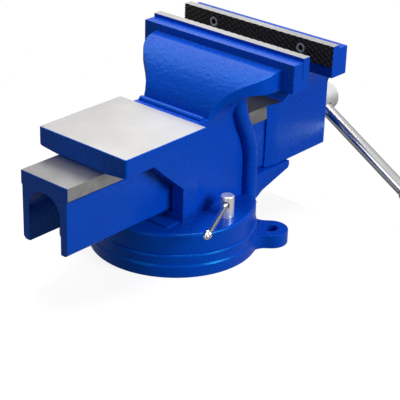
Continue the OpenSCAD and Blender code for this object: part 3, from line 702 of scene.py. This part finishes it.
def knurled_plate(knurl):
    """A plate that grips towards -Y at y = 0: a lattice of diamonds, inset, trimmed and given its body."""
    cells = 44
    bpy.ops.object.select_all(action="DESELECT")
    bpy.ops.mesh.primitive_grid_add(x_subdivisions=cells, y_subdivisions=cells, size=1)
    piece = bpy.context.object
    piece.name = "knurled_plate_fixed"
    middle = (PLATE_TOP + PLATE_FOOT) / 2
    edit(piece)
    bpy.ops.transform.rotate(value=math.pi / 4, orient_axis="Z", center_override=(0, 0, 0))
    root = math.sqrt(2)
    bpy.ops.transform.resize(value=(cells * knurl.cell_w / root, cells * knurl.cell_h / root, 1),
                             center_override=(0, 0, 0))
    bpy.ops.transform.rotate(value=math.pi / 2, orient_axis="X", center_override=(0, 0, 0))
    bpy.ops.transform.translate(value=(0, knurl.groove, middle))
    leave()
    # The lattice has to face -Y before its diamonds rise
    edit(piece)
    if piece.data.polygons[0].normal.y > 0:
        bpy.ops.mesh.flip_normals()
    bpy.ops.mesh.inset(thickness=knurl.flank, depth=knurl.groove, use_individual=True)
    for point, normal in (((PLATE_HALF, 0, 0), (1, 0, 0)), ((-PLATE_HALF, 0, 0), (-1, 0, 0)),
                          ((0, 0, PLATE_TOP), (0, 0, 1)), ((0, 0, PLATE_FOOT), (0, 0, -1))):
        bpy.ops.mesh.select_all(action="SELECT")
        bpy.ops.mesh.bisect(plane_co=point, plane_no=normal, clear_outer=True, threshold=0.1 * MERGE)
    pick(piece, "edges", lambda e: e.is_boundary)
    bpy.ops.mesh.extrude_edges_move(TRANSFORM_OT_translate={"value": (0, PLATE_DEPTH, 0)})
    bpy.ops.transform.resize(value=(1, 0, 1), center_override=(0, PLATE_DEPTH, 0))
    bpy.ops.mesh.edge_face_add()
    leave()
    outward(piece)
    return piece


def screw_places(screws):
    """How far from the middle a jaw's two plate screws stand, and how high."""
    a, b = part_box(screws)
    return (b.x - a.x) / 2 - SCREW_HEAD_R, (a.z + b.z) / 2


def drill(piece, screws):
    """Cuts the stepped holes of a plate's screws."""
    reach, z = screw_places(screws)
    face_y, way = (FIXED_GRIP_Y, 1) if screws.startswith("fixed") else (MOVING_GRIP_Y, -1)
    for side in (-1, 1):
        for radius, start, end in SCREW_HOLES:
            bpy.ops.object.select_all(action="DESELECT")
            bpy.ops.mesh.primitive_cylinder_add(
                vertices=32, radius=radius * MM, depth=(end - start) * MM,
                location=(side * reach, face_y + way * (start + end) / 2 * MM, z),
                rotation=(math.pi / 2, 0, 0))
            cutter = bpy.context.object
            settle(cutter)
            apply_modifier(piece, "BOOLEAN", operation="DIFFERENCE", solver="EXACT", object=cutter)
            bpy.data.objects.remove(cutter)


class VISE_OT_fasteners(Piece, bpy.types.Operator):
    """Plate screws, nut screws, pivot bolt and its washer"""
    bl_idname = "vise.fasteners"
    bl_label = "Fasteners"

    def execute(self, context):
        for node in ("fixed_plate_screws", "moving_plate_screws"):
            piece = plated(node, 0.35)
            # The plate screws' heads take lightened zinc, a painted light
            dress(piece, node, "socket_screw", lit_zinc(), shaded_black())
            # The hex sockets take the darkened black, a painted shade
            finish_faces(piece, 1, in_socket(node))
        for node, edge in (("nut_screws", 0.3), ("pivot_bolt", 0.5), ("pivot_washer", 0.2)):
            dress(plated(node, edge), node, "plain_steel", zinc())
        return {"FINISHED"}


def plated(node, edge):
    """A copy of a fastener with its edges rounded by some millimetres."""
    piece = copy_of_node(node, node + "_plated")
    soften(piece, edge * MM)
    return piece


def in_socket(screws):
    """A test for the walls and floors of the hex sockets in a jaw's plate screws."""
    reach, z = screw_places(screws)
    face_y = low(screws).y if screws.startswith("fixed") else high(screws).y
    socket_r, shallow, deep = 2.7 * MM, 0.2 * MM, 4 * MM
    return lambda c, n: (math.hypot(abs(c.x) - reach, c.z - z) < socket_r
                         and shallow < abs(c.y - face_y) < deep)


class VISE_OT_nuts(Piece, bpy.types.Operator):
    """Main nut in the slide and the two tee nuts in the base"""
    bl_idname = "vise.nuts"
    bl_label = "Nuts"

    def execute(self, context):
        for node, slot, finish in (("main_nut", "nut_iron", cast_iron()),
                                   ("tee_nut_left", "plain_steel", zinc()),
                                   ("tee_nut_right", "plain_steel", zinc())):
            piece = copy_of_node(node, node + "_machined")
            soften(piece, 0.4 * MM)
            dress(piece, node, slot, finish)
        return {"FINISHED"}


class VISE_OT_main_screw(Piece, bpy.types.Operator):
    """Main screw: its drilled head and plain neck, then a trapezoidal thread to the far end"""
    bl_idname = "vise.main_screw"
    bl_label = "Main screw"

    def execute(self, context):
        thread = context.scene.vise_thread
        piece = copy_of_node("main_screw", "threaded_spindle")
        edit(piece)
        bpy.ops.mesh.bisect(plane_co=(0, thread.start, 0), plane_no=(0, 1, 0), clear_outer=True,
                            use_fill=True)
        leave()
        soften(piece, 0.35 * MM)
        helix = thread_piece(thread)
        only(piece)
        helix.select_set(True)
        bpy.ops.object.join()
        smooth(piece)
        dress(piece, "main_screw", "screw_steel", turned_steel())
        return {"FINISHED"}


def thread_piece(thread):
    """The threaded length: one pitch of its outline, screwed along the axis, cut and tapered at the end."""
    crest = SCREW_R
    root = crest - thread.depth
    end = high("main_screw").y
    p = thread.pitch
    y0 = thread.start - 2 * p
    radii = (root, root, crest, crest, root, root)
    piece = profile("thread", [(0, y0 + share * p, SCREW_Z + r) for share, r in zip(THREAD_SHARES, radii)])
    only(piece)
    bpy.context.scene.cursor.location = (0, 0, SCREW_Z)
    bpy.ops.object.origin_set(type="ORIGIN_CURSOR")
    apply_modifier(piece, "SCREW", axis="Y", screw_offset=p, iterations=int((end - y0) / p) + 2,
                   steps=thread.steps, render_steps=thread.steps, use_merge_vertices=True,
                   merge_threshold=MERGE)
    settle(piece)
    bpy.context.scene.cursor.location = (0, 0, 0)
    edit(piece)
    bpy.ops.mesh.remove_doubles(threshold=MERGE)
    for y, way in ((thread.start, -1), (end, 1)):
        bpy.ops.mesh.select_all(action="SELECT")
        bpy.ops.mesh.bisect(plane_co=(0, y, 0), plane_no=(0, way, 0), clear_outer=True, use_fill=True)
    leave()
    outward(piece)
    foot, tip = thread.start / MM - 1, end / MM
    tapered = [(0, foot), (THREAD_CLEAR_R, foot), (THREAD_CLEAR_R, tip - THREAD_TAPER), (THREAD_TIP_R, tip),
               (0, tip)]
    keep = turned_piece("thread_end", tapered, (0, 0, SCREW_Z), (0, 1, 0))
    apply_modifier(piece, "BOOLEAN", operation="INTERSECT", solver="EXACT", object=keep)
    bpy.data.objects.remove(keep)
    return piece


class VISE_OT_thrust_parts(Piece, bpy.types.Operator):
    """Spring, washer and split pin that draw the jaw back with the screw"""
    bl_idname = "vise.thrust_parts"
    bl_label = "Thrust parts"

    def execute(self, context):
        washer = copy_of_node("thrust_washer", "turned_washer")
        soften(washer, 0.25 * MM)
        dress(washer, "thrust_washer", "plain_steel", zinc())
        dress(coil_spring(), "thrust_spring", "spring_steel", oiled_wire())
        dress(folded_pin(), "split_pin", "plain_steel", zinc())
        return {"FINISHED"}


def coil_spring():
    """Round wire wound three times round the screw."""
    a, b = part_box("thrust_spring")
    wire, turns, steps = 0.8 * MM, 3, 36
    mean = (b.x - a.x) / 2 - wire
    bpy.ops.object.select_all(action="DESELECT")
    bpy.ops.mesh.primitive_circle_add(vertices=14, radius=wire, location=(mean, a.y + wire, 0))
    piece = bpy.context.object
    piece.name = "coil_spring"
    settle(piece)
    lead = (b.y - a.y - 2 * wire) / turns
    apply_modifier(piece, "SCREW", axis="Y", screw_offset=lead, iterations=turns, steps=steps,
                   render_steps=steps, use_merge_vertices=False)
    piece.location.z = SCREW_Z
    settle(piece)
    edit(piece)
    pick(piece, "edges", lambda e: e.is_boundary)
    bpy.ops.mesh.fill_holes(sides=0)
    leave()
    outward(piece)
    smooth(piece, math.radians(60))
    return piece


def folded_pin():
    """Round wire folded at an eye, with its two ends spread."""
    a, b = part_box("split_pin")
    y = (a.y + b.y) / 2
    wire, eye, spread, drop, reach = 0.62 * MM, 2.6 * MM, 3.0 * MM, 2.4 * MM, 8.6 * MM
    neck = eye * 1.15
    top = b.z - wire - eye
    waist = top - neck
    foot = SCREW_Z - reach
    first, sweep, steps = -110, 320, 12
    points = [(-spread, y, foot - drop), (-wire, y, foot), (-wire, y, waist)]
    for i in range(steps + 1):
        turn = math.radians(first - sweep * i / steps)
        points.append((eye * math.cos(turn), y, top + eye * math.sin(turn)))
    points += [(wire, y, waist), (wire, y, foot), (spread, y, foot - drop)]
    piece = profile("folded_pin", points)
    only(piece)
    bpy.ops.object.convert(target="CURVE")
    piece = bpy.context.object
    piece.data.bevel_depth = wire
    piece.data.bevel_resolution = 3
    piece.data.use_fill_caps = True
    bpy.ops.object.convert(target="MESH")
    piece = bpy.context.object
    outward(piece)
    smooth(piece, math.radians(50))
    return piece


def joint_axis(name):
    return Vector(next(j["axis"] for j in frame["joints"] if j["name"] == name))


def round_arc(centre, radii, start, end, steps):
    """Points of an ellipse's arc in a radius and a length, between two angles in degrees."""
    turns = [math.radians(start + (end - start) * i / steps) for i in range(steps + 1)]
    return [(centre[0] + radii[0] * math.cos(t), centre[1] + radii[1] * math.sin(t)) for t in turns]


def turned_piece(name, outline, place, direction, steps=TURNED_STEPS):
    """Turns an outline of radius and length, in millimetres, and lays its length along a direction."""
    piece = turned(name, [(r * MM, 0, z * MM) for r, z in outline], steps)
    piece.rotation_euler = Vector(direction).to_track_quat("Z", "Y").to_euler()
    piece.location = place
    settle(piece)
    smooth(piece)
    return piece


class VISE_OT_handle(Piece, bpy.types.Operator):
    """Sliding bar with a ball knob at each end"""
    bl_idname = "vise.handle"
    bl_label = "Handle"

    def execute(self, context):
        along = -joint_axis("handle_slide")
        middle = Vector((0, HANDLE_Y, SCREW_Z))
        near, far = BAR_NEAR + KNOB_FLAT, BAR_FAR - KNOB_FLAT
        bar = [(0, BAR_NEAR - SPIGOT_DEPTH), (SPIGOT_R, BAR_NEAR - SPIGOT_DEPTH), (SPIGOT_R, near),
               (BAR_R - BAR_CHAMFER, near), (BAR_R, near + BAR_CHAMFER), (BAR_R, far - BAR_CHAMFER),
               (BAR_R - BAR_CHAMFER, far), (SPIGOT_R, far), (SPIGOT_R, BAR_FAR + SPIGOT_DEPTH),
               (0, BAR_FAR + SPIGOT_DEPTH)]
        dress(turned_piece("chrome_bar", bar, middle, along), "handle_bar", "bar_chrome", chrome())
        for node, reach, way in (("handle_knob_far", BAR_FAR, 1), ("handle_knob_near", BAR_NEAR, -1)):
            piece = turned_piece(node.replace("handle_", "chrome_"), knob_outline(),
                                 middle + along * reach * MM, along * way)
            dress(piece, node, "bar_chrome", chrome())
        return {"FINISHED"}


def knob_outline():
    """A ball with a flat and a bore towards the bar."""
    dip = math.degrees(math.asin(KNOB_FLAT / KNOB_R))
    ball = round_arc((0, 0), (KNOB_R, KNOB_R), 90, 3 - dip, 16)
    return [(0, KNOB_R)] + ball[1:] + [
        (ball[-1][0] - 0.5, -KNOB_FLAT), (KNOB_BORE_R, -KNOB_FLAT), (KNOB_BORE_R, KNOB_BORE_DEPTH),
        (0, KNOB_BORE_DEPTH)]


class VISE_OT_locks(Piece, bpy.types.Operator):
    """Lock screws with their small bars"""
    bl_idname = "vise.locks"
    bl_label = "Locks"

    def execute(self, context):
        for side in ("left", "right"):
            stud = copy_of_node("lock_screw_" + side, "lock_stud_" + side)
            soften(stud, 0.3 * MM, math.radians(35))
            dress(stud, "lock_screw_" + side, "screw_steel", turned_steel())
            a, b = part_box("lock_bar_" + side)
            axis = next(j["pos_m"] for j in frame["joints"] if j["name"] == "lock_turn_" + side)
            place = (axis[0], axis[1], (a.z + b.z) / 2)
            piece = turned_piece("lock_rod_" + side, lock_bar_outline(), place,
                                 joint_axis("lock_bar_slide_" + side), LOCK_STEPS)
            dress(piece, "lock_bar_" + side, "bar_chrome", chrome())
        return {"FINISHED"}


def lock_bar_outline():
    """A thin bar with a ring near each end, a blunt near end and a round tip."""
    r, ring, far = LOCK_BAR_R, LOCK_RING_R, LOCK_TIP - LOCK_END
    stub = -LOCK_NEAR - LOCK_STUB
    near_ring = [(ring + rise, -LOCK_NEAR - reach) for rise, reach in reversed(RING_STEPS)]
    far_ring = [(ring + rise, far + reach) for rise, reach in RING_STEPS]
    return ([(0, stub), (r / 2, stub), (r * 0.85, stub + 0.6), (r, -LOCK_NEAR - RING_LENGTH)]
            + near_ring + [(r, -LOCK_NEAR), (r, far)] + far_ring + [(r, far + RING_LENGTH)]
            + round_arc((0, LOCK_TIP - r), (r * 1.1, r), 0, 90, 6)[:-1] + [(0, LOCK_TIP)])


class VISE_OT_stage(Piece, bpy.types.Operator):
    """Pale bench top, soft lamps, room light and the photograph's camera"""
    bl_idname = "vise.stage"
    bl_label = "Stage"

    def execute(self, context):
        studio = context.scene.vise_studio
        bench_top(studio)
        for name, (place, aim, size) in LAMPS.items():
            lamp(name.capitalize() + " lamp", place, aim, size, getattr(studio, name))
        room(studio)
        camera()
        context.scene.view_settings.view_transform = "Standard"
        return {"FINISHED"}


def bench_top(studio):
    """A thick slab whose front edge lies behind the handle's swing."""
    width, depth, thick = 4.0, 4.0, 0.03
    bpy.ops.object.select_all(action="DESELECT")
    bpy.ops.mesh.primitive_cube_add(size=1)
    slab = bpy.context.object
    slab.name = "bench_top"
    edit(slab)
    bpy.ops.transform.resize(value=(width, depth, thick), center_override=(0, 0, 0))
    bpy.ops.transform.translate(value=(0, studio.edge_y + depth / 2, -thick / 2))
    leave()
    plain = tuple(studio.floor)
    made, w, shader = material("Pale bench", plain)
    grain = placed(w, marks_effect(), Size=12.0, Amount=0.2)
    shader.inputs["Roughness"].default_value = 0.8
    shader.inputs["Specular IOR Level"].default_value = 0.1
    shader.inputs["Emission Color"].default_value = (1, 1, 1, 1)
    path = w.add("ShaderNodeLightPath")
    camera_ray = path.outputs["Is Camera Ray"]
    top = w.mix(grain.outputs["Mask"], plain, shade(plain, 0.98))
    w.tree.links.new(w.mix(camera_ray, shade(plain, 0.35), top), shader.inputs["Base Color"])
    straight = w.math("MAXIMUM", camera_ray, path.outputs["Is Transmission Ray"])
    seen = w.math("MULTIPLY", straight, studio.pale)
    mirrored = w.math("MULTIPLY", path.outputs["Is Glossy Ray"], studio.mirrored)
    w.tree.links.new(w.math("MAXIMUM", seen, mirrored), shader.inputs["Emission Strength"])
    slab.data.materials.append(made)


def lamp(name, place, aim, size, power):
    data = bpy.data.lights.new(name, "AREA")
    data.shape = "DISK"
    data.size = size
    data.energy = power
    made = bpy.data.objects.new(name, data)
    bpy.context.scene.collection.objects.link(made)
    made.location = place
    made.rotation_euler = (Vector(aim) - Vector(place)).to_track_quat("-Z", "Y").to_euler()


def room(studio):
    """Even light on the object, and a white surround for the camera and for reflections."""
    world = bpy.data.worlds.new("Room")
    bpy.context.scene.world = world
    world.use_nodes = True
    w = Wiring(world.node_tree)
    path = w.add("ShaderNodeLightPath")
    seen = w.math("MAXIMUM", path.outputs["Is Camera Ray"], path.outputs["Is Transmission Ray"])
    ray = w.add("ShaderNodeTexCoord").outputs["Generated"]
    height = w.add("ShaderNodeSeparateXYZ", {0: ray}).outputs["Z"]
    mirrored = w.math("MULTIPLY", path.outputs["Is Glossy Ray"], w.between(height, 0.0, 0.5, 0.16, 0.6))
    level = w.math("MAXIMUM", w.math("MAXIMUM", seen, mirrored), studio.sky)
    back = w.add("ShaderNodeBackground", {"Color": (1, 1, 1, 1), "Strength": level})
    w.add("ShaderNodeOutputWorld", {"Surface": back.outputs[0]})


def camera():
    """The camera that the photograph was matched with."""
    azimuth, elevation, roll = (math.radians(v) for v in (CAMERA_AZIMUTH, CAMERA_ELEVATION, CAMERA_ROLL))
    back = Vector((math.sin(azimuth) * math.cos(elevation), -math.cos(azimuth) * math.cos(elevation),
                   math.sin(elevation)))
    right = UP.cross(back).normalized()
    above = back.cross(right)
    c, s = math.cos(roll), math.sin(roll)
    rolled_right, rolled_up = right * c - above * s, right * s + above * c
    data = bpy.data.cameras.new("Photo camera")
    data.sensor_width = SENSOR
    data.lens = FOCAL_PIXELS * SENSOR / PICTURE_PIXELS
    data.clip_start, data.clip_end = 0.01, 20
    made = bpy.data.objects.new("Photo camera", data)
    bpy.context.scene.collection.objects.link(made)
    tx, ty, distance = CAMERA_OFFSET
    place = -tx * rolled_right - ty * rolled_up + distance * back
    turn = Matrix((rolled_right, rolled_up, back)).transposed().to_4x4()
    made.matrix_world = Matrix.Translation(place) @ turn
    bpy.context.scene.camera = made


OPERATORS = (VISE_OT_swivel_base, VISE_OT_fixed_body, VISE_OT_moving_jaw, VISE_OT_jaw_plates,
             VISE_OT_fasteners, VISE_OT_nuts, VISE_OT_main_screw, VISE_OT_thrust_parts, VISE_OT_handle,
             VISE_OT_locks, VISE_OT_stage)


class VISE_PT_dresser(bpy.types.Panel):
    """Lists the vise's settings and pieces"""
    bl_idname = "VISE_PT_dresser"
    bl_label = "Bench Vise"
    bl_space_type = "VIEW_3D"
    bl_region_type = "UI"
    bl_category = "Bench Vise"

    def draw(self, context):
        for name, group in GROUPS.items():
            box = self.layout.box()
            box.label(text=group.__doc__)
            for prop in group.__annotations__:
                box.prop(getattr(context.scene, name), prop)
        for operator in OPERATORS:
            self.layout.operator(operator.bl_idname)


def register():
    for group in GROUPS.values():
        bpy.utils.register_class(group)
    for name, group in GROUPS.items():
        setattr(bpy.types.Scene, name, bpy.props.PointerProperty(type=group))
    for operator in OPERATORS:
        bpy.utils.register_class(operator)
    bpy.utils.register_class(VISE_PT_dresser)


def unregister():
    bpy.utils.unregister_class(VISE_PT_dresser)
    for operator in reversed(OPERATORS):
        bpy.utils.unregister_class(operator)
    for name in GROUPS:
        delattr(bpy.types.Scene, name)
    for group in reversed(GROUPS.values()):
        bpy.utils.unregister_class(group)


def main():
    register()
    for operator in OPERATORS:
        family, name = operator.bl_idname.split(".")
        getattr(getattr(bpy.ops, family), name)()


if __name__ == "__main__":
    main()
